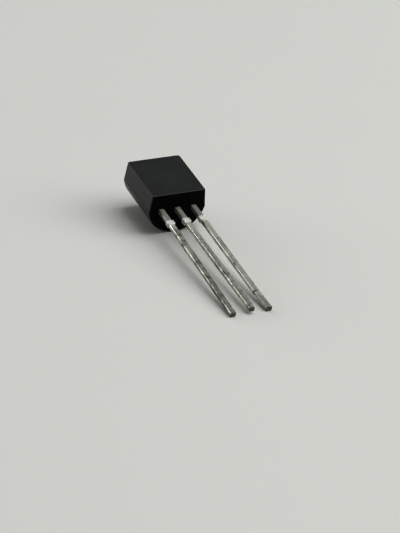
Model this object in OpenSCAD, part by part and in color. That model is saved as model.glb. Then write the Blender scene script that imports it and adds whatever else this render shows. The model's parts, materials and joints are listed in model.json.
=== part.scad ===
// TO-92 transistor: a moulded body with one flat face, and three stamped leads
// that hold the chip and its bond wires inside the moulding.
// It lies flat face up, on the lead-side edge of its round back and on its outer lead tips.
// Sizes are in millimetres. The parts are drawn in the package's own axes (X across the
// leads, Y towards the closed end, Z out of the flat face, zero at the centre of the round
// back on the lead-side end), and lay() then turns the whole package to its rest.

/* [Moulded body] */
// Length of the body along the leads
body_len = 4.76; // [4.3:0.02:4.9]
// Radius of the round back
back_r = 2.27; // [2.15:0.01:2.35]
// Height of the flat face above the centre of the round back
flat_h = 1.07; // [0.95:0.01:1.2]
// Width of the flat face, narrower than the body by the slope of the side walls
flat_w = 4.16; // [3.8:0.02:4.2]
// Diameter of the ejector pin's mark on the round back
pin_mark_d = 1.2; // [1:0.1:1.3]
// Depth of the ejector pin's mark at the crown of the round back
pin_mark_depth = 0.12; // [0.11:0.01:0.2]

/* [Leads] */
// Distance between neighbouring leads
pitch = 1.27; // [1.25:0.01:1.3]
// Length of the leads outside the body
lead_len = 12.7; // [12.7:0.05:14]
// Width of a lead, across the row
lead_w = 0.45; // [0.4:0.01:0.5]
// Thickness of the sheet that the leads are stamped from
lead_t = 0.4; // [0.36:0.01:0.45]
// Radius of the corners of a lead, rounded by its plating
lead_corner = 0.11; // [0.05:0.01:0.15]
// Depth of the middle of the leads below the flat face
lead_depth = 1.38; // [1.1:0.01:1.4]
// Distance from the body to the stubs of the cropped tie bar
tie_y = 1.65; // [1.4:0.05:2.2]
// Length of a tie-bar stub along the lead
tie_len = 0.46; // [0.3:0.02:0.6]
// How far a tie-bar stub stands out at each side
tie_out = 0.06; // [0.03:0.01:0.1]

/* [Bends of the outer leads] */
// Fall of the outer lead tips below the middle one
tip_fall = 0.2; // [0.1:0.02:0.3]
// Outward turn of the emitter lead from its tie-bar stub on, in degrees
emitter_splay = 0.7; // [0:0.1:1.5]
// Outward turn of the collector lead from its tie-bar stub on, in degrees
collector_splay = 0.1; // [0:0.1:1.5]
// Length of the collector lead's end beyond its kink
kink_len = 2; // [1.5:0.1:3]
// Outward turn of that end, in degrees
kink = 2; // [0:0.5:4]

/* [Chip] */
// Side of the square chip
chip_w = 0.55; // [0.4:0.05:0.7]
// Thickness of the chip
chip_t = 0.2; // [0.15:0.01:0.25]
// Thickness of the solder under the chip
solder_t = 0.03; // [0.02:0.01:0.05]
// Rim of solder around the chip
solder_rim = 0.04; // [0.02:0.01:0.08]
// Diameter of the bond wires
wire_d = 0.038; // [0.025:0.001:0.05]
// Height of a bond wire's arch
wire_rise = 0.28; // [0.2:0.02:0.4]

/* [Hidden] */

plastic = "#262a2c";
tin = "#a9a89c";
silicon = "#5b6470";
solder = "#8e9095";
gold = "#d4a838";

// Lead frame inside the body. The mould parts at the middle of its thickness.
lead_z = flat_h - lead_depth;
parting_w = 2 * sqrt(back_r ^ 2 - lead_z ^ 2);
frame_top = lead_z + lead_t / 2;
root_len = 0.9;
shank_y = root_len - 0.1;
base_head = [[-0.45, 1.2], [0.45, 1.75]];
emitter_head = [[-1.62, 1.9], [-0.82, 3.4]];
paddle = [[-0.5, 2.05], [1.62, 3.7]];

// Chip and bonds
chip_at = [0.15, 2.85];
emitter_pad = [-0.05, 2.95];
base_pad = [0.15, 2.7];
emitter_bond = [-1.2, 2.75];
base_bond = [0, 1.5];
chip_top = frame_top + solder_t + chip_t;
wire_rings = 12;
wire_sides = 8;
corner_steps = 3;
tie_t = lead_t - 0.04;

// The outer leads turn down from the tie bar to reach their fall at the tip
shank_len = lead_len - tie_y;
drop = asin(tip_fall / shank_len);

// Lowest corner of the outer tips, and the tilt that sets it level with the body's edge
tip_y = tie_y + shank_len * cos(drop) - lead_t / 2 * sin(drop);
tip_z = lead_z - tip_fall - lead_t / 2 * cos(drop);
rest_tilt = atan((back_r + tip_z) / tip_y);

// Ends of the resting package along Y, from the middle lead's tip to the foot of the closed end
rest_front = -lead_len * cos(rest_tilt) - frame_top * sin(rest_tilt);
rest_back = body_len * cos(rest_tilt) + back_r * sin(rest_tilt);

// Direction along a lead or wire that is turned by side from -Y and falls by fall
function heading(side, fall) = [sin(side) * cos(fall), -cos(side) * cos(fall), -sin(fall)];
function across(side) = [cos(side), sin(side), 0];
function upward(side, fall) = [sin(side) * sin(fall), -cos(side) * sin(fall), cos(fall)];

// One ring of a sweep: the outline set square to the heading
function ring(outline, at, side, fall) =
    [for (p = outline) at + p.x * across(side) + p.y * upward(side, fall)];

// Outline of a lead, with rounded corners
lead_outline = [
    for (corner = [0:3], step = [0:corner_steps])
        let (
            angle = 90 * (corner + step / corner_steps),
            right = corner == 0 || corner == 3 ? 1 : -1,
            top = corner < 2 ? 1 : -1
        )
        [
            right * (lead_w / 2 - lead_corner) + lead_corner * cos(angle),
            top * (lead_t / 2 - lead_corner) + lead_corner * sin(angle)
        ]
];

// Outline of a bond wire
wire_outline = [
    for (step = [0:wire_sides - 1])
        wire_d / 2 * [cos(360 * (step + 0.5) / wire_sides), sin(360 * (step + 0.5) / wire_sides)]
];

// Turns the package from its own axes to its rest, with the middle of its foot at the origin
module lay() {
    translate([0, -(rest_front + rest_back) / 2, back_r * cos(rest_tilt)])
        rotate([rest_tilt, 0, 0])
            children();
}

// Skin over a list of rings that have the same number of points
module sweep(rings) {
    count = len(rings[0]);
    last = len(rings) - 1;
    walls = [
        for (r = [0:last - 1], i = [0:count - 1])
            let (a = r * count + i, b = r * count + (i + 1) % count)
            each [[a, b + count, b], [a, a + count, b + count]]
    ];
    first_cap = [for (i = [0:count - 1]) i];
    last_cap = [for (i = [count - 1:-1:0]) last * count + i];
    polyhedron(points = [for (r = rings) each r], faces = concat(walls, [first_cap, last_cap]));
}

// A piece of the lead frame, from corner to corner, in the sheet's thickness
module stamped(corners) {
    size = corners[1] - corners[0];
    translate([corners[0].x, corners[0].y, lead_z - lead_t / 2])
        cube([size.x, size.y, lead_t]);
}

// A lead from inside the body to its tip, with its tie-bar stub
module lead(x, side, fall, end_turn) {
    root = [x, root_len, lead_z];
    bend = [x, -tie_y, lead_z];
    end = bend + (shank_len - kink_len) * heading(side, fall);
    tip = end + kink_len * heading(side + end_turn, fall);
    sweep([
        ring(lead_outline, root, 0, 0),
        ring(lead_outline, bend, side / 2, fall / 2),
        ring(lead_outline, end, side + end_turn / 2, fall),
        ring(lead_outline, tip, side + end_turn, fall)
    ]);
    translate([x - lead_w / 2 - tie_out, -tie_y - tie_len / 2, lead_z - tie_t / 2])
        cube([lead_w + 2 * tie_out, tie_len, tie_t]);
}

module emitter_metal() {
    lead(-pitch, -emitter_splay, drop, 0);
    stamped([[-pitch - lead_w / 2, shank_y], [-pitch + lead_w / 2, emitter_head[0].y + 0.1]]);
    stamped(emitter_head);
}

module base_metal() {
    lead(0, 0, 0, 0);
    stamped([[-lead_w / 2, shank_y], [lead_w / 2, base_head[0].y + 0.1]]);
    stamped(base_head);
}

module collector_metal() {
    lead(pitch, collector_splay, drop, kink);
    stamped([[pitch - lead_w / 2, shank_y], [pitch + lead_w / 2, paddle[0].y + 0.1]]);
    stamped(paddle);
}

module chip_block() {
    translate([chip_at.x - chip_w / 2, chip_at.y - chip_w / 2, frame_top + solder_t])
        cube([chip_w, chip_w, chip_t]);
}

module solder_block() {
    side = chip_w + 2 * solder_rim;
    translate([chip_at.x - side / 2, chip_at.y - side / 2, frame_top])
        cube([side, side, solder_t]);
}

// An arched bond wire from a pad on the chip to a lead, upright at both ends
module arch(from, to) {
    way = to - from;
    side = atan2(way.x, -way.y);
    sweep([
        for (i = [0:wire_rings])
            let (
                t = 180 * i / wire_rings,
                along = (1 - cos(t)) / 2,
                level = chip_top + (frame_top - chip_top) * along + wire_rise * sin(t),
                rise = (frame_top - chip_top) * sin(t) / 2 + wire_rise * cos(t),
                run = norm(way) * sin(t) / 2,
                place = from + way * along
            )
            ring(wire_outline, [place.x, place.y, level], side, atan2(-rise, run))
    ]);
}

// Everything that the body is moulded around
module inserts() {
    emitter_metal();
    base_metal();
    collector_metal();
    chip_block();
    solder_block();
    arch(emitter_pad, emitter_bond);
    arch(base_pad, base_bond);
}

// The round back up to the parting line, and the sloping side walls from there to the flat face
module body_outline() {
    intersection() {
        circle(r = back_r, $fn = 96);
        translate([-back_r, -back_r])
            square([2 * back_r, back_r + lead_z]);
    }
    polygon([
        [-parting_w / 2, lead_z],
        [parting_w / 2, lead_z],
        [flat_w / 2, flat_h],
        [-flat_w / 2, flat_h]
    ]);
}

module body() {
    color(plastic) lay() difference() {
        translate([0, body_len, 0])
            rotate([90, 0, 0])
                linear_extrude(body_len)
                    body_outline();
        translate([0, body_len / 2, -back_r - 1])
            cylinder(d = pin_mark_d, h = 1 + pin_mark_depth, $fn = 64);
        inserts();
    }
}

module emitter_lead() {
    color(tin) lay() emitter_metal();
}

module base_lead() {
    color(tin) lay() base_metal();
}

module collector_lead() {
    color(tin) lay() collector_metal();
}

module chip() {
    color(silicon) lay() chip_block();
}

module chip_solder() {
    color(solder) lay() solder_block();
}

module emitter_wire() {
    color(gold) lay() arch(emitter_pad, emitter_bond);
}

module base_wire() {
    color(gold) lay() arch(base_pad, base_bond);
}

body();
emitter_lead();
base_lead();
collector_lead();
chip();
chip_solder();
emitter_wire();
base_wire();
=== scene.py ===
import json
import math

import bmesh
import bpy
from mathutils import Matrix, Vector


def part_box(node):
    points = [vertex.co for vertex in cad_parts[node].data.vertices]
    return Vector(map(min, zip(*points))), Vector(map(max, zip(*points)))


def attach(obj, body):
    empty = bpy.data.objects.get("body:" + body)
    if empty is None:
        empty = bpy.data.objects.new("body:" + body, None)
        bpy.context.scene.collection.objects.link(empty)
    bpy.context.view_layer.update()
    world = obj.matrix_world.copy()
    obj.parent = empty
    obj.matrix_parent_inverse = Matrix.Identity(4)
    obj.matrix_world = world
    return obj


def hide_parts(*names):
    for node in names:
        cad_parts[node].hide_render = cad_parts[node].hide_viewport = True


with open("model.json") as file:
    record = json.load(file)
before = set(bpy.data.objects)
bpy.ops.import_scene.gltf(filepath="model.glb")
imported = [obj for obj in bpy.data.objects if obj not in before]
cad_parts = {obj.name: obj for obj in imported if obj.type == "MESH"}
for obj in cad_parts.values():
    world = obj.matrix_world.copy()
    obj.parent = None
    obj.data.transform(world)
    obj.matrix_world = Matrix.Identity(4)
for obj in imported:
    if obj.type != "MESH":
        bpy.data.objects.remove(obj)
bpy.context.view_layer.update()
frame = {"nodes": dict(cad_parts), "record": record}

# The pieces are modelled in millimetres in the package's own axes: X across the leads,
# Y towards the closed end, Z out of the flat face, zero at the centre of the round back
# on the lead-side end. place() then sets them into the row frame, in metres.

millimetre = 0.001
slack = 1e-4  # how far off its place a point may be and still be picked, in mm
sharpFrom = 35  # edges that turn by more than this stay sharp, in degrees
print("frame loaded")


# places read from the frame
mounts = {m["name"]: m for m in frame["record"]["mounts"]}
flatSpot = Vector(mounts["flat_face"]["pos_m"])
leadSpot = Vector(mounts["lead_row"]["pos_m"])
backSpot = Vector(mounts["round_back"]["pos_m"])
outOfFlat = Vector(mounts["flat_face"]["axis"]).normalized()
towardsEnd = -Vector(mounts["lead_row"]["axis"]).normalized()

bodyLength = 2 * (backSpot - leadSpot).dot(towardsEnd) / millimetre
flatRise = (flatSpot - backSpot).dot(outOfFlat) / millimetre
leadLevel = (leadSpot - backSpot).dot(outOfFlat) / millimetre
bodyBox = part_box("body")
partingHalf = (bodyBox[1].x - bodyBox[0].x) / 2 / millimetre
backRadius = math.hypot(partingHalf, leadLevel)

origin = backSpot - towardsEnd * bodyLength / 2 * millimetre
toRow = Matrix.Translation(origin) @ Matrix.Rotation(
    math.atan2(towardsEnd.z, towardsEnd.y), 4, "X"
)
print("body", round(bodyLength, 3), "long, back radius", round(backRadius, 3))


# helpers for modelling by hand
def startPiece():
    if bpy.context.object and bpy.context.object.mode != "OBJECT":
        bpy.ops.object.mode_set(mode="OBJECT")
    bpy.ops.object.select_all(action="DESELECT")


def edit():
    bpy.ops.object.mode_set(mode="EDIT")


def done():
    bpy.ops.object.mode_set(mode="OBJECT")


def pickFaces(test):
    bpy.ops.mesh.select_mode(type="FACE")
    bpy.ops.mesh.select_all(action="DESELECT")
    mesh = bpy.context.object.data
    for face in bmesh.from_edit_mesh(mesh).faces:
        face.select_set(test(face.calc_center_median(), face.normal))
    bmesh.update_edit_mesh(mesh)


def pickEdges(test):
    bpy.ops.mesh.select_mode(type="EDGE")
    bpy.ops.mesh.select_all(action="DESELECT")
    mesh = bpy.context.object.data
    for edge in bmesh.from_edit_mesh(mesh).edges:
        edge.select_set(test(edge.verts[0].co, edge.verts[1].co))
    bmesh.update_edit_mesh(mesh)


def pickPoints(test):
    bpy.ops.mesh.select_mode(type="VERT")
    bpy.ops.mesh.select_all(action="DESELECT")
    mesh = bpy.context.object.data
    for point in bmesh.from_edit_mesh(mesh).verts:
        point.select_set(test(point.co))
    bmesh.update_edit_mesh(mesh)


def applyAll(piece):
    bpy.context.view_layer.objects.active = piece
    for modifier in list(piece.modifiers):
        bpy.ops.object.modifier_apply(modifier=modifier.name)


def smoothFaces(piece):
    startPiece()
    piece.select_set(True)
    bpy.context.view_layer.objects.active = piece
    bpy.ops.object.shade_smooth_by_angle(angle=math.radians(sharpFrom))
    normals = piece.modifiers.new("evenNormals", "WEIGHTED_NORMAL")
    normals.keep_sharp = True
    applyAll(piece)


def place(piece, name, slot, *nodes):
    piece.name = name
    piece.data.name = name
    piece.data.transform(toRow @ Matrix.Scale(millimetre, 4))
    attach(piece, "root")
    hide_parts(*nodes)


# shader helpers
def newMaterial(name):
    material = bpy.data.materials.new(name)
    material.use_nodes = True
    nodes = material.node_tree.nodes
    nodes.clear()
    shader = nodes.new("ShaderNodeBsdfPrincipled")
    output = nodes.new("ShaderNodeOutputMaterial")
    material.node_tree.links.new(shader.outputs["BSDF"], output.inputs["Surface"])
    return material, material.node_tree, shader


def link(tree, source, target):
    tree.links.new(source, target)


def addNode(tree, kind, **settings):
    node = tree.nodes.new(kind)
    for key, value in settings.items():
        setattr(node, key, value)
    return node


# the pattern coordinates of every piece: the package's own axes, in millimetres
def packageSpot(tree):
    back = toRow.inverted()
    coordinates = addNode(tree, "ShaderNodeTexCoord")
    mapping = addNode(tree, "ShaderNodeMapping")
    mapping.inputs["Location"].default_value = back.translation / millimetre
    mapping.inputs["Rotation"].default_value = back.to_euler()
    mapping.inputs["Scale"].default_value = (1 / millimetre,) * 3
    link(tree, coordinates.outputs["Object"], mapping.inputs["Vector"])
    return mapping.outputs["Vector"]


def axisOf(tree, spot, axis):
    parts = addNode(tree, "ShaderNodeSeparateXYZ")
    link(tree, spot, parts.inputs["Vector"])
    return parts.outputs[axis]


def spread(tree, value, low, high, toLow=0.0, toHigh=1.0):
    node = addNode(tree, "ShaderNodeMapRange", clamp=True)
    for key, number in (("From Min", low), ("From Max", high), ("To Min", toLow), ("To Max", toHigh)):
        node.inputs[key].default_value = number
    link(tree, value, node.inputs["Value"])
    return node.outputs["Result"]


def blendColours(tree, mask, first, second):
    node = addNode(tree, "ShaderNodeMix", data_type="RGBA")
    for key, colour in (("A", first), ("B", second)):
        socket = [s for s in node.inputs if s.name == key and s.type == "RGBA"][0]
        if isinstance(colour, tuple):
            socket.default_value = (*colour, 1)
        else:
            link(tree, colour, socket)
    link(tree, mask, node.inputs["Factor"])
    return [s for s in node.outputs if s.type == "RGBA"][0]


def compute(tree, operation, first, second):
    node = addNode(tree, "ShaderNodeMath", operation=operation)
    for index, value in enumerate((first, second)):
        if isinstance(value, (int, float)):
            node.inputs[index].default_value = value
        else:
            link(tree, value, node.inputs[index])
    return node.outputs[0]


def bump(tree, height, strength, distance):
    node = addNode(tree, "ShaderNodeBump")
    node.inputs["Strength"].default_value = strength
    node.inputs["Distance"].default_value = distance
    link(tree, height, node.inputs["Height"])
    return node.outputs["Normal"]


def newGroup(name, inputs, outputs):
    group = bpy.data.node_groups.new(name, "ShaderNodeTree")
    for label, kind, value in inputs:
        socket = group.interface.new_socket(label, in_out="INPUT", socket_type=kind)
        if value is not None:
            socket.default_value = value
    for label, kind in outputs:
        group.interface.new_socket(label, in_out="OUTPUT", socket_type=kind)
    return group, group.nodes.new("NodeGroupInput"), group.nodes.new("NodeGroupOutput")


def useGroup(tree, group, **values):
    node = addNode(tree, "ShaderNodeGroup", node_tree=group)
    for key, value in values.items():
        if isinstance(value, (int, float)):
            node.inputs[key].default_value = value
        else:
            link(tree, value, node.inputs[key])
    return node


# effects that several materials share
def makeGrain():
    group, source, target = newGroup(
        "fineGrain",
        [("Spot", "NodeSocketVector", None), ("Scale", "NodeSocketFloat", 12.0)],
        [("Height", "NodeSocketFloat"), ("Pits", "NodeSocketFloat")],
    )
    coarse = addNode(group, "ShaderNodeTexNoise")
    coarse.inputs["Detail"].default_value = 5
    coarse.inputs["Roughness"].default_value = 0.62
    cells = addNode(group, "ShaderNodeTexVoronoi", feature="F1")
    for node in (coarse, cells):
        link(group, source.outputs["Spot"], node.inputs["Vector"])
        link(group, source.outputs["Scale"], node.inputs["Scale"])
    pits = spread(group, cells.outputs["Distance"], 0.05, 0.5)
    height = compute(group, "ADD", coarse.outputs["Fac"], compute(group, "MULTIPLY", pits, 0.35))
    link(group, height, target.inputs["Height"])
    link(group, pits, target.inputs["Pits"])
    return group


def makeCloud():
    group, source, target = newGroup(
        "cloudiness",
        [
            ("Spot", "NodeSocketVector", None),
            ("Scale", "NodeSocketFloat", 0.5),
            ("Sharpness", "NodeSocketFloat", 0.5),
        ],
        [("Mask", "NodeSocketFloat")],
    )
    broad = addNode(group, "ShaderNodeTexNoise")
    broad.inputs["Detail"].default_value = 6
    broad.inputs["Roughness"].default_value = 0.6
    broad.inputs["Distortion"].default_value = 0.6
    link(group, source.outputs["Spot"], broad.inputs["Vector"])
    link(group, source.outputs["Scale"], broad.inputs["Scale"])
    offset = compute(group, "SUBTRACT", broad.outputs["Fac"], 0.5)
    gain = compute(group, "ADD", compute(group, "MULTIPLY", source.outputs["Sharpness"], 6.0), 1.0)
    value = compute(group, "ADD", compute(group, "MULTIPLY", offset, gain), 0.5)
    link(group, spread(group, value, 0.0, 1.0), target.inputs["Mask"])
    return group


# lighter edges from a Bevel mask: partly edge wear, partly a painted highlight along the rounded
# edges
def makeEdgeWearAndHighlight():
    group, source, target = newGroup(
        "edgeWearAndHighlight",
        [
            ("Spot", "NodeSocketVector", None),
            ("Reach", "NodeSocketFloat", 0.00004),
            ("Amount", "NodeSocketFloat", 0.5),
            ("Breakup", "NodeSocketFloat", 2.5),
        ],
        [("Mask", "NodeSocketFloat")],
    )
    rounded = addNode(group, "ShaderNodeBevel", samples=6)
    link(group, source.outputs["Reach"], rounded.inputs["Radius"])
    plain = addNode(group, "ShaderNodeNewGeometry")
    match = addNode(group, "ShaderNodeVectorMath", operation="DOT_PRODUCT")
    link(group, rounded.outputs["Normal"], match.inputs[0])
    link(group, plain.outputs["Normal"], match.inputs[1])
    turned = compute(group, "SUBTRACT", 1.0, match.outputs["Value"])
    breakup = addNode(group, "ShaderNodeTexNoise")
    breakup.inputs["Detail"].default_value = 4
    link(group, source.outputs["Spot"], breakup.inputs["Vector"])
    link(group, source.outputs["Breakup"], breakup.inputs["Scale"])
    wornAndLit = compute(group, "MULTIPLY", spread(group, turned, 0.005, 0.06), source.outputs["Amount"])
    wornAndLit = compute(group, "MULTIPLY", wornAndLit, spread(group, breakup.outputs["Fac"], 0.35, 0.6))
    link(group, wornAndLit, target.inputs["Mask"])
    return group


def makeStreaks():
    group, source, target = newGroup(
        "drawnStreaks",
        [
            ("Spot", "NodeSocketVector", None),
            ("Fineness", "NodeSocketFloat", 9.0),
            ("Length", "NodeSocketFloat", 0.04),
        ],
        [("Mask", "NodeSocketFloat"), ("Height", "NodeSocketFloat")],
    )
    parts = addNode(group, "ShaderNodeSeparateXYZ")
    link(group, source.outputs["Spot"], parts.inputs["Vector"])
    squeezed = addNode(group, "ShaderNodeCombineXYZ")
    link(group, parts.outputs["X"], squeezed.inputs["X"])
    drawnOut = compute(group, "MULTIPLY", parts.outputs["Y"], source.outputs["Length"])
    link(group, drawnOut, squeezed.inputs["Y"])
    link(group, parts.outputs["Z"], squeezed.inputs["Z"])
    lines = addNode(group, "ShaderNodeTexNoise")
    lines.inputs["Detail"].default_value = 3
    lines.inputs["Roughness"].default_value = 0.7
    link(group, squeezed.outputs["Vector"], lines.inputs["Vector"])
    link(group, source.outputs["Fineness"], lines.inputs["Scale"])
    link(group, spread(group, lines.outputs["Fac"], 0.3, 0.7), target.inputs["Mask"])
    link(group, lines.outputs["Fac"], target.inputs["Height"])
    return group


grain = makeGrain()
cloud = makeCloud()
edgeWearAndHighlight = makeEdgeWearAndHighlight()
streaks = makeStreaks()
print("shared effects built")


# moulded body
moulding = {
    "flatWidth": 4.16,
    "roundSteps": 192,
    "closedEndRadius": 0.2,
    "closedEndSteps": 8,
    "leadEndRadius": 0.08,
    "leadEndSteps": 5,
    "flatEdgeRadius": 0.035,
    "flatEdgeSteps": 4,
    "partingStep": 0.012,
    "markDiameter": 1.2,
    "markDepth": 0.12,
    "markSteps": 96,
    "markRound": 0.02,
    "grainScale": 14.0,
    "grainStrength": 0.35,
    "grainDepth": 0.000008,
    "cloud": {"Scale": 0.7, "Sharpness": 0.3},
    # the edges are painted lighter: edge wear together with a painted edge highlight
    "wornAndLitEdge": {"Reach": 0.00005, "Amount": 0.15, "Breakup": 1.8},
    "wornAndLitEdgeColour": (0.045, 0.047, 0.047),
    # each finish runs from its first colour to its second in soft clouds
    "finishes": {
        "mouldingCompound": {
            "colours": ((0.0045, 0.0058, 0.0058), (0.0085, 0.0104, 0.0104)),
            "roughness": (0.32, 0.42),
            "specular": 0.5,
        },
        # the end faces are painted darker and duller than the rest: painted shade
        "paintedShadeEnds": {
            "colours": ((0.0025, 0.0028, 0.0028), (0.0045, 0.0058, 0.0058)),
            "roughness": 0.6,
            "specular": 0.08,
        },
    },
}


def onLevel(value, level):
    return abs(value - level) < slack


def modelBody():
    startPiece()
    bpy.ops.mesh.primitive_cylinder_add(
        vertices=moulding["roundSteps"],
        radius=backRadius,
        depth=bodyLength,
        location=(0, bodyLength / 2, 0),
        rotation=(math.pi / 2, 0, 0),
    )
    body = bpy.context.object
    bpy.ops.object.transform_apply(location=True, rotation=True, scale=True)

    # the half below the parting line
    edit()
    bpy.ops.mesh.select_all(action="SELECT")
    bpy.ops.mesh.bisect(
        plane_co=(0, 0, leadLevel),
        plane_no=(0, 0, 1),
        use_fill=True,
        clear_outer=True,
        threshold=1e-5,
    )
    for level, radius, steps in (
        (bodyLength, moulding["closedEndRadius"], moulding["closedEndSteps"]),
        (0, moulding["leadEndRadius"], moulding["leadEndSteps"]),
    ):
        pickEdges(
            lambda a, b: onLevel(a.y, level)
            and onLevel(b.y, level)
            and min(a.z, b.z) < leadLevel - slack
        )
        bpy.ops.mesh.bevel(offset=radius, segments=steps, profile=0.5, affect="EDGES")

    # the half above it, a little smaller all round
    pickFaces(lambda centre, normal: onLevel(centre.z, leadLevel) and normal.z > 0.99)
    bpy.ops.mesh.inset(thickness=moulding["partingStep"], depth=0)
    bpy.ops.mesh.extrude_region_move(
        TRANSFORM_OT_translate={"value": (0, 0, flatRise - leadLevel)}
    )
    narrow = moulding["flatWidth"] / 2 / (partingHalf - moulding["partingStep"])
    bpy.ops.transform.resize(value=(narrow, 1, 1), center_override=(0, 0, 0))
    pickEdges(lambda a, b: onLevel(a.z, flatRise) and onLevel(b.z, flatRise))
    bpy.ops.mesh.bevel(
        offset=moulding["flatEdgeRadius"],
        segments=moulding["flatEdgeSteps"],
        profile=0.5,
        affect="EDGES",
    )
    done()
    return body


def cutEjectorMark(body):
    startPiece()
    bpy.ops.mesh.primitive_cylinder_add(
        vertices=moulding["markSteps"],
        radius=moulding["markDiameter"] / 2,
        depth=1,
        location=(0, bodyLength / 2, -backRadius + moulding["markDepth"] - 0.5),
    )
    cutter = bpy.context.object
    bpy.ops.object.transform_apply(location=True, rotation=True, scale=True)
    edit()
    pickEdges(lambda a, b: min(a.z, b.z) > -backRadius + moulding["markDepth"] - slack)
    bpy.ops.mesh.bevel(offset=moulding["markRound"], segments=3, affect="EDGES")
    done()
    cut = body.modifiers.new("ejectorMark", "BOOLEAN")
    cut.operation = "DIFFERENCE"
    cut.object = cutter
    applyAll(body)
    bpy.data.objects.remove(cutter)


def mouldingFinish(name, look):
    material, tree, shader = newMaterial(name)
    spot = packageSpot(tree)
    fine = useGroup(tree, grain, Spot=spot, Scale=moulding["grainScale"])
    broad = useGroup(tree, cloud, Spot=spot, **moulding["cloud"])
    wornAndLitEdge = useGroup(tree, edgeWearAndHighlight, Spot=spot, **moulding["wornAndLitEdge"])
    colour = blendColours(tree, broad.outputs["Mask"], *look["colours"])
    # edge wear and a painted edge highlight lighten the colour along the edges
    colour = blendColours(tree, wornAndLitEdge.outputs["Mask"], colour, moulding["wornAndLitEdgeColour"])
    link(tree, colour, shader.inputs["Base Color"])
    if isinstance(look["roughness"], tuple):
        roughness = spread(tree, broad.outputs["Mask"], 0, 1, *look["roughness"])
        link(tree, roughness, shader.inputs["Roughness"])
    else:
        shader.inputs["Roughness"].default_value = look["roughness"]
    normal = bump(tree, fine.outputs["Height"], moulding["grainStrength"], moulding["grainDepth"])
    link(tree, normal, shader.inputs["Normal"])
    shader.inputs["Specular IOR Level"].default_value = look["specular"]
    return material


body = modelBody()
cutEjectorMark(body)
for name, look in moulding["finishes"].items():
    body.data.materials.append(mouldingFinish(name, look))
# both end faces take the darker finish: painted shade
for face in body.data.polygons:
    if abs(face.normal.y) > 0.999:
        face.material_index = 1
smoothFaces(body)
place(body, "mouldedBody", "moulding", "body")
print("body modelled", len(body.data.polygons), "faces")


# leads
leadStock = {
    "pitch": 1.27,
    "length": 12.7,
    "width": 0.45,
    "thickness": 0.4,
    "cornerRadius": 0.11,
    "cornerSteps": 4,
    "rootLength": 0.9,
    "tipFall": 0.2,
    "kinkLength": 2.0,
    "ringSpacing": 0.1,
    "lump": 0.014,
    "lumpSize": 0.55,
    "lumpStart": 0.3,
    "tipRound": 0.05,
    "plateInset": 0.004,
    "plateEdge": 0.015,
    "bright": (0.6, 0.595, 0.545),
    "dull": (0.1, 0.098, 0.083),
    "stain": (0.2, 0.196, 0.17),
    "residue": (0.17, 0.17, 0.16),
    # a painted shade in the nicks, darker for deeper nicks up to a limit
    "nickShade": (0.04, 0.036, 0.032),
    "nickShadePerDepth": 60,
    "darkestNickShade": 0.95,
    "metallic": 0.88,
    "soilAndPaintedLightMetallic": 0.1,
    "roughness": (0.22, 0.38),
    "bumpStrength": 0.3,
    "bumpDepth": 0.00001,
    # how much each pattern adds to the dullness, and the dullness from bright to dull
    "drawnShare": 0.35,
    "blotchShare": 1.4,
    "tipShare": 0.1,
    # the painted reflection near the body takes this much off the dullness
    "paintedShineShare": 0.5,
    "dullnessRange": (0.1, 1.2),
    "stainShare": 0.4,
    "drawn": {"Fineness": 6.0, "Length": 0.04},
    "blotches": {"Fineness": 3.2, "Length": 0.3},
    "patches": {"Scale": 1.6, "Sharpness": 0.4},
    "stains": {"Scale": 0.9, "Sharpness": 0.9},
    "grainScale": 22.0,
    # fades along the lead, on the package's Y, which falls from the body to the tip
    "nearTip": (-5.0, -12.0),
    # tin painted brighter near the body: painted reflection
    "paintedShineNearBody": (-4.2, -1.8),
    "residueEnd": (-1.5, -1.3),
    # where the tie bar was cropped: scraped tin with a painted highlight
    "scrapedHighlightFrom": (-1.35, -1.5),
    "scrapedHighlightTo": (-2.15, -1.9),
}

tieBar = {
    "at": 1.65,
    "length": 0.46,
    "out": 0.06,
    "thickness": 0.36,
    "edge": 0.035,
    "tear": 0.03,
    "tearBelow": 0.06,
    "colour": (0.72, 0.715, 0.68),
    "shadedColour": (0.4, 0.395, 0.36),
    "tracks": {"Fineness": 22.0, "Length": 1.0},
    "patches": {"Scale": 5.0, "Sharpness": 0.6},
    "metallic": 0.35,
    "roughness": (0.25, 0.45),
    "trackStrength": 0.6,
    "trackDepth": 0.000015,
}

croppedTip = {
    "depth": 0.06,
    "colour": (0.075, 0.071, 0.06),
    "smearColour": (0.22, 0.21, 0.18),
    "smearShare": 0.6,
    "patches": {"Scale": 6.0, "Sharpness": 0.7},
    "metallic": 0.2,
    "roughness": 0.6,
    "grainScale": 18.0,
    "grainStrength": 0.6,
    "grainDepth": 0.00001,
}

leads = {
    "emitterLead": {
        "node": "emitter_lead", "across": -1, "splay": -0.7, "falls": True, "kink": 0,
        "dulled": 0.16,
        "plates": [((-1.495, 0.8), (-1.045, 2.0)), ((-1.62, 1.9), (-0.82, 3.4))],
        "nicks": [],
    },
    "baseLead": {
        "node": "base_lead", "across": 0, "splay": 0, "falls": False, "kink": 0,
        "dulled": -0.04,
        "plates": [((-0.225, 0.8), (0.225, 1.3)), ((-0.45, 1.2), (0.45, 1.75))],
        "nicks": [(1.7, 0.006)],
    },
    "collectorLead": {
        "node": "collector_lead", "across": 1, "splay": 0.1, "falls": True, "kink": 2,
        "dulled": -0.3,
        "plates": [((1.045, 0.8), (1.495, 2.15)), ((-0.5, 2.05), (1.62, 3.7))],
        "nicks": [(2.0, 0.018)],
    },
}


def heading(side, fall):
    return Vector((
        math.sin(side) * math.cos(fall),
        -math.cos(side) * math.cos(fall),
        -math.sin(fall),
    ))


# the way of a lead: stretches of a length with one heading
def leadWay(kind):
    shank = leadStock["length"] - tieBar["at"]
    side = math.radians(kind["splay"])
    fall = math.asin(leadStock["tipFall"] / shank) if kind["falls"] else 0
    return [
        (leadStock["rootLength"] + tieBar["at"], heading(0, 0)),
        (shank - leadStock["kinkLength"], heading(side, fall)),
        (leadStock["kinkLength"], heading(side + math.radians(kind["kink"]), fall)),
    ]


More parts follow.
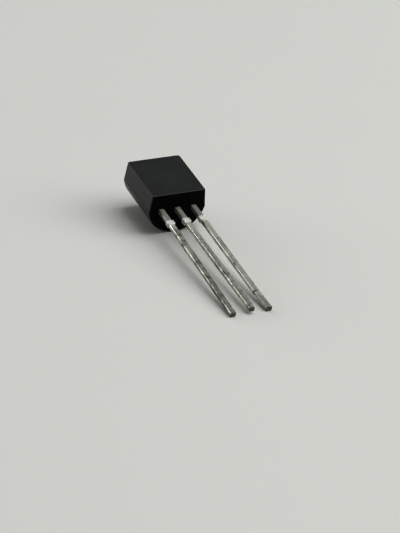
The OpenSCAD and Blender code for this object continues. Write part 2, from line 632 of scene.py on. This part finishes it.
def modelBar(kind):
    stock = leadStock
    root = Vector((kind["across"] * stock["pitch"], stock["rootLength"], leadLevel))
    startPiece()
    bpy.ops.mesh.primitive_plane_add(size=1, location=root, rotation=(math.pi / 2, 0, 0))
    bar = bpy.context.object
    bar.scale = (stock["width"], stock["thickness"], 1)
    bpy.ops.object.transform_apply(location=True, rotation=True, scale=True)
    edit()
    bpy.ops.mesh.select_all(action="SELECT")
    bpy.ops.mesh.bevel(
        offset=stock["cornerRadius"], segments=stock["cornerSteps"], affect="VERTICES"
    )
    bpy.ops.mesh.select_all(action="SELECT")
    tip = root.copy()
    for length, course in leadWay(kind):
        rings = round(length / stock["ringSpacing"])
        for _ in range(rings):
            bpy.ops.mesh.extrude_region_move(
                TRANSFORM_OT_translate={"value": course * length / rings}
            )
        tip += course * length
    bpy.ops.mesh.region_to_loop()
    bpy.ops.mesh.bevel(offset=stock["tipRound"], segments=3, affect="EDGES")
    for back, depth in kind["nicks"]:
        spot = tip - course * back
        reach = stock["ringSpacing"] * 0.51  # takes in one or two rings
        pickPoints(lambda p: abs((p - spot).dot(course)) < reach and p.z > spot.z + 0.05)
        bpy.ops.transform.translate(value=(0, 0, -depth))
    bpy.ops.mesh.select_all(action="SELECT")
    bpy.ops.mesh.normals_make_consistent(inside=False)
    done()
    return bar, tip, course


# the uneven tin outside the body, always inside the stock's own outline
def makeUneven(bar, name):
    outside = bar.vertex_groups.new(name="outside")
    for point in bar.data.vertices:
        if point.co.y < 0:
            outside.add([point.index], min(1, -point.co.y / leadStock["lumpStart"]), "REPLACE")
    waves = bpy.data.textures.new(name + "Waves", "CLOUDS")
    waves.noise_scale = leadStock["lumpSize"]
    waves.noise_depth = 2
    uneven = bar.modifiers.new("uneven", "DISPLACE")
    uneven.texture = waves
    uneven.texture_coords = "LOCAL"
    uneven.mid_level = 1
    uneven.strength = leadStock["lump"]
    uneven.vertex_group = "outside"
    applyAll(bar)
    bar.vertex_groups.clear()


def addBlock(low, high, edge, material):
    startPiece()
    middle = (low + high) / 2
    bpy.ops.mesh.primitive_cube_add(size=1, location=middle)
    block = bpy.context.object
    block.scale = high - low
    bpy.ops.object.transform_apply(location=True, rotation=True, scale=True)
    edit()
    bpy.ops.mesh.select_all(action="SELECT")
    bpy.ops.mesh.bevel(offset=edge, segments=2, affect="EDGES")
    done()
    block.data.materials.append(material)
    return block


def fuse(bar, block):
    join = bar.modifiers.new("fuse", "BOOLEAN")
    join.operation = "UNION"
    join.material_mode = "TRANSFER"
    join.object = block
    startPiece()
    applyAll(bar)
    bpy.data.objects.remove(block)


def addTieStubs(bar, kind, material):
    x = kind["across"] * leadStock["pitch"]
    reach = leadStock["width"] / 2 + tieBar["out"]
    half = Vector((reach, tieBar["length"] / 2, tieBar["thickness"] / 2))
    middle = Vector((x, -tieBar["at"], leadLevel))
    block = addBlock(middle - half, middle + half, tieBar["edge"], material)
    startPiece()
    bpy.context.view_layer.objects.active = block
    block.select_set(True)
    edit()
    bpy.ops.mesh.select_all(action="SELECT")
    bpy.ops.mesh.subdivide(number_cuts=3)
    # the shear tore the stubs thinner towards the lower edge
    torn = leadLevel - tieBar["tearBelow"]
    pickPoints(lambda p: abs(p.x - x) > reach - 0.01 and p.z < torn)
    bpy.ops.transform.resize(value=(1 - tieBar["tear"] / reach, 1, 1), center_override=middle)
    done()
    fuse(bar, block)


def addPlates(bar, kind, material):
    half = leadStock["thickness"] / 2 - leadStock["plateInset"]
    for near, far in kind["plates"]:
        low = Vector((*near, leadLevel - half))
        high = Vector((*far, leadLevel + half))
        fuse(bar, addBlock(low, high, leadStock["plateEdge"], material))


def tinPlate():
    stock = leadStock
    material, tree, shader = newMaterial("tinPlate")
    spot = packageSpot(tree)
    along = axisOf(tree, spot, "Y")
    drawn = useGroup(tree, streaks, Spot=spot, **stock["drawn"])
    blotches = useGroup(tree, streaks, Spot=spot, **stock["blotches"])
    patches = useGroup(tree, cloud, Spot=spot, **stock["patches"])
    fine = useGroup(tree, grain, Spot=spot, Scale=stock["grainScale"])

    # how dull the tin is, from its drawing, its blotches and its place along the lead; brighter tin
    # near the body and duller tin towards the tip are a painted reflection
    nearTip = spread(tree, along, *stock["nearTip"])
    paintedShineNearBody = spread(tree, along, *stock["paintedShineNearBody"])
    blotched = compute(tree, "MULTIPLY", blotches.outputs["Mask"], patches.outputs["Mask"])
    dullness = addNode(tree, "ShaderNodeAttribute", attribute_name="dulled").outputs["Fac"]
    for mask, share in (
        (blotched, stock["blotchShare"]),
        (drawn.outputs["Mask"], stock["drawnShare"]),
        (nearTip, stock["tipShare"]),
        (paintedShineNearBody, -stock["paintedShineShare"]),
    ):
        dullness = compute(tree, "ADD", dullness, compute(tree, "MULTIPLY", mask, share))
    dullnessMask = spread(tree, dullness, *stock["dullnessRange"])
    colour = blendColours(tree, dullnessMask, stock["bright"], stock["dull"])

    stained = useGroup(tree, cloud, Spot=spot, **stock["stains"])
    stain = compute(tree, "MULTIPLY", nearTip, spread(tree, stained.outputs["Mask"], 0.45, 0.9))
    stain = compute(tree, "MULTIPLY", stain, stock["stainShare"])
    colour = blendColours(tree, stain, colour, stock["stain"])

    # a crust of residue next to the body
    nearBody = spread(tree, along, *stock["residueEnd"])
    uneven = spread(tree, blotches.outputs["Mask"], 0.1, 0.9, 0.3, 1.0)
    crust = compute(tree, "MULTIPLY", nearBody, uneven)
    colour = blendColours(tree, crust, colour, stock["residue"])

    # scraped tin, lighter where the tie bar was cropped off, together with a painted highlight there
    start = spread(tree, along, *stock["scrapedHighlightFrom"])
    end = spread(tree, along, *stock["scrapedHighlightTo"])
    scrapedAndHighlit = compute(tree, "MULTIPLY", start, end)
    brokenUp = spread(tree, drawn.outputs["Mask"], 0.0, 0.6, 0.55, 0.9)
    scrapedAndHighlit = compute(tree, "MULTIPLY", scrapedAndHighlit, brokenUp)
    colour = blendColours(tree, scrapedAndHighlit, colour, tieBar["colour"])

    # the nicks are darkened: painted shade
    nickShade = addNode(tree, "ShaderNodeAttribute", attribute_name="nickShade").outputs["Fac"]
    colour = blendColours(tree, nickShade, colour, stock["nickShade"])
    link(tree, colour, shader.inputs["Base Color"])
    roughness = spread(tree, dullness, *stock["dullnessRange"], *stock["roughness"])
    link(tree, roughness, shader.inputs["Roughness"])
    # the tin is less metallic under the crust, the painted nick shade and the scraped, painted
    # highlight
    soilAndPaintedLight = compute(tree, "MAXIMUM", crust, nickShade)
    soilAndPaintedLight = compute(tree, "MAXIMUM", soilAndPaintedLight, compute(tree, "MULTIPLY", scrapedAndHighlit, 0.7))
    metallic = spread(tree, soilAndPaintedLight, 0, 1, stock["metallic"], stock["soilAndPaintedLightMetallic"])
    link(tree, metallic, shader.inputs["Metallic"])
    height = compute(tree, "ADD", drawn.outputs["Height"], blotches.outputs["Height"])
    height = compute(tree, "ADD", height, compute(tree, "MULTIPLY", fine.outputs["Height"], 0.05))
    normal = bump(tree, height, stock["bumpStrength"], stock["bumpDepth"])
    link(tree, normal, shader.inputs["Normal"])
    return material


def shearedTin():
    material, tree, shader = newMaterial("shearedTin")
    spot = packageSpot(tree)
    tracks = useGroup(tree, streaks, Spot=spot, **tieBar["tracks"])
    patches = useGroup(tree, cloud, Spot=spot, **tieBar["patches"])
    colour = blendColours(tree, patches.outputs["Mask"], tieBar["colour"], tieBar["shadedColour"])
    link(tree, colour, shader.inputs["Base Color"])
    shader.inputs["Metallic"].default_value = tieBar["metallic"]
    roughness = spread(tree, tracks.outputs["Mask"], 0, 1, *tieBar["roughness"])
    link(tree, roughness, shader.inputs["Roughness"])
    normal = bump(tree, tracks.outputs["Height"], tieBar["trackStrength"], tieBar["trackDepth"])
    link(tree, normal, shader.inputs["Normal"])
    return material


def croppedEnd():
    cropped = croppedTip
    material, tree, shader = newMaterial("croppedEnd")
    spot = packageSpot(tree)
    fine = useGroup(tree, grain, Spot=spot, Scale=cropped["grainScale"])
    patches = useGroup(tree, cloud, Spot=spot, **cropped["patches"])
    smear = compute(tree, "MULTIPLY", patches.outputs["Mask"], cropped["smearShare"])
    colour = blendColours(tree, smear, cropped["colour"], cropped["smearColour"])
    link(tree, colour, shader.inputs["Base Color"])
    shader.inputs["Metallic"].default_value = cropped["metallic"]
    shader.inputs["Roughness"].default_value = cropped["roughness"]
    normal = bump(tree, fine.outputs["Height"], cropped["grainStrength"], cropped["grainDepth"])
    link(tree, normal, shader.inputs["Normal"])
    return material


finishes = {"tin": tinPlate(), "sheared": shearedTin(), "cropped": croppedEnd()}


def modelLead(name, kind):
    bar, tip, course = modelBar(kind)
    bar.data.materials.append(finishes["tin"])
    bar.data.materials.append(finishes["cropped"])
    for face in bar.data.polygons:
        if (face.center - tip).dot(course) > -croppedTip["depth"]:
            face.material_index = 1
    makeUneven(bar, name)
    addTieStubs(bar, kind, finishes["sheared"])
    addPlates(bar, kind, finishes["tin"])
    # how dull the tin is, and the painted shade in the nicks
    dulled = bar.data.attributes.new("dulled", "FLOAT", "POINT")
    for value in dulled.data:
        value.value = kind["dulled"]
    nickShade = bar.data.attributes.new("nickShade", "FLOAT", "POINT")
    for back, depth in kind["nicks"]:
        spot = tip - course * back
        for point in bar.data.vertices:
            if abs((point.co - spot).dot(course)) < leadStock["ringSpacing"]:
                soilAndPaintedLight = min(leadStock["darkestNickShade"], depth * leadStock["nickShadePerDepth"])
                nickShade.data[point.index].value = soilAndPaintedLight
    return bar


for name, kind in leads.items():
    lead = modelLead(name, kind)
    smoothFaces(lead)
    place(lead, name, "tinned_lead", kind["node"])
    print(name, "modelled", len(lead.data.polygons), "faces")


# pieces hidden in the moulding, kept as packed
hiddenPieces = {
    "silicon": {
        "nodes": ["chip"],
        "colours": ((0.09, 0.1, 0.12), (0.14, 0.15, 0.17)), "metallic": 0.3, "roughness": 0.25,
    },
    "dieSolder": {
        "nodes": ["chip_solder"],
        "colours": ((0.42, 0.42, 0.43), (0.3, 0.3, 0.31)), "metallic": 1, "roughness": 0.4,
    },
    "goldWire": {
        "nodes": ["emitter_wire", "base_wire"],
        "colours": ((0.95, 0.68, 0.28), (0.8, 0.55, 0.2)), "metallic": 1, "roughness": 0.28,
    },
}


def plainFinish(name, look):
    material, tree, shader = newMaterial(name)
    spot = packageSpot(tree)
    patches = useGroup(tree, cloud, Spot=spot, Scale=8.0, Sharpness=0.4)
    fine = useGroup(tree, grain, Spot=spot, Scale=60.0)
    colour = blendColours(tree, patches.outputs["Mask"], *look["colours"])
    link(tree, colour, shader.inputs["Base Color"])
    shader.inputs["Metallic"].default_value = look["metallic"]
    low = look["roughness"]
    roughness = spread(tree, patches.outputs["Mask"], 0, 1, low, low + 0.12)
    link(tree, roughness, shader.inputs["Roughness"])
    link(tree, bump(tree, fine.outputs["Height"], 0.3, 0.000002), shader.inputs["Normal"])
    return material


for name, look in hiddenPieces.items():
    finish = plainFinish(name, look)
    for node in look["nodes"]:
        for slot in frame["nodes"][node].material_slots:
            slot.material = finish
print("hidden pieces finished")


# stage, light and camera
stage = {
    "floorSize": 1.2,
    "floorColour": (0.47, 0.475, 0.456),
    "deepened": 0.985,
    "cloud": {"Scale": 0.03, "Sharpness": 0.1},
    "roughness": 0.7,
    "specular": 0.2,
}

room = {
    "tint": (1.0, 1.0, 0.98),
    "darkAt": -0.6,
    "brightAt": 0.35,
    "strength": 0.325,
}

lamps = {
    "keyLight": {
        "size": (0.35, 0.35), "strength": 1.43, "azimuth": 60, "elevation": 75, "distance": 0.5,
    },
    "rightLight": {
        "size": (0.35, 0.35), "strength": 1.22, "azimuth": 60, "elevation": 35, "distance": 0.5,
    },
    "leftLight": {
        "size": (0.6, 0.24), "strength": 1.2, "azimuth": -150, "elevation": 13, "distance": 0.5,
    },
}

view = {
    "azimuth": -27.2,
    "elevation": 28.1,
    "roll": 4.6,
    "distance": 0.1728,
    "aim": (-0.002174, -0.004705, 0.002),
    "lens": 168.86,
}


def makeFloor():
    startPiece()
    bpy.ops.mesh.primitive_plane_add(size=stage["floorSize"], location=(0, 0, 0))
    floor = bpy.context.object
    floor.name = "floor"
    material, tree, shader = newMaterial("paleFloor")
    spot = packageSpot(tree)
    soft = useGroup(tree, cloud, Spot=spot, **stage["cloud"])
    pale = stage["floorColour"]
    deeper = tuple(c * stage["deepened"] for c in pale)
    colour = blendColours(tree, soft.outputs["Mask"], pale, deeper)
    link(tree, colour, shader.inputs["Base Color"])
    shader.inputs["Roughness"].default_value = stage["roughness"]
    shader.inputs["Specular IOR Level"].default_value = stage["specular"]
    floor.data.materials.append(material)


def softLight(name, size, strength, azimuth, elevation, distance):
    startPiece()
    a, e = math.radians(azimuth), math.radians(elevation)
    away = Vector((math.sin(a) * math.cos(e), -math.cos(a) * math.cos(e), math.sin(e)))
    bpy.ops.object.light_add(type="AREA", location=away * distance)
    lamp = bpy.context.object
    lamp.name = name
    lamp.data.shape = "RECTANGLE"
    lamp.data.size, lamp.data.size_y = size
    lamp.data.energy = strength
    lamp.rotation_euler = away.to_track_quat("Z", "Y").to_euler()


# the room: pale behind the object, dark on the viewer's side
def makeRoom():
    world = bpy.data.worlds.new("studio")
    bpy.context.scene.world = world
    world.use_nodes = True
    tree = world.node_tree
    ground = tree.nodes["Background"]
    coordinates = addNode(tree, "ShaderNodeTexCoord")
    depth = axisOf(tree, coordinates.outputs["Generated"], "Y")
    level = spread(tree, depth, room["darkAt"], room["brightAt"])
    link(tree, blendColours(tree, level, (0, 0, 0), room["tint"]), ground.inputs["Color"])
    ground.inputs["Strength"].default_value = room["strength"]


def lightStage():
    makeRoom()
    for name, lamp in lamps.items():
        softLight(name, **lamp)


def aimCamera():
    startPiece()
    a, e, r = (math.radians(view[key]) for key in ("azimuth", "elevation", "roll"))
    back = Vector((math.sin(a) * math.cos(e), -math.cos(a) * math.cos(e), math.sin(e)))
    level = Vector((math.cos(a), math.sin(a), 0))
    up = back.cross(level)
    right = level * math.cos(r) + up * math.sin(r)
    top = back.cross(right)
    bpy.ops.object.camera_add(location=Vector(view["aim"]) + back * view["distance"])
    camera = bpy.context.object
    turned = Matrix((right, top, back)).transposed()
    camera.rotation_euler = turned.to_euler()
    camera.data.lens = view["lens"]
    camera.data.clip_start = 0.005
    camera.data.clip_end = 10
    bpy.context.scene.camera = camera
    bpy.context.scene.view_settings.view_transform = "Standard"
    bpy.context.scene.view_settings.look = "High Contrast"


makeFloor()
lightStage()
aimCamera()
print("stage and camera set")
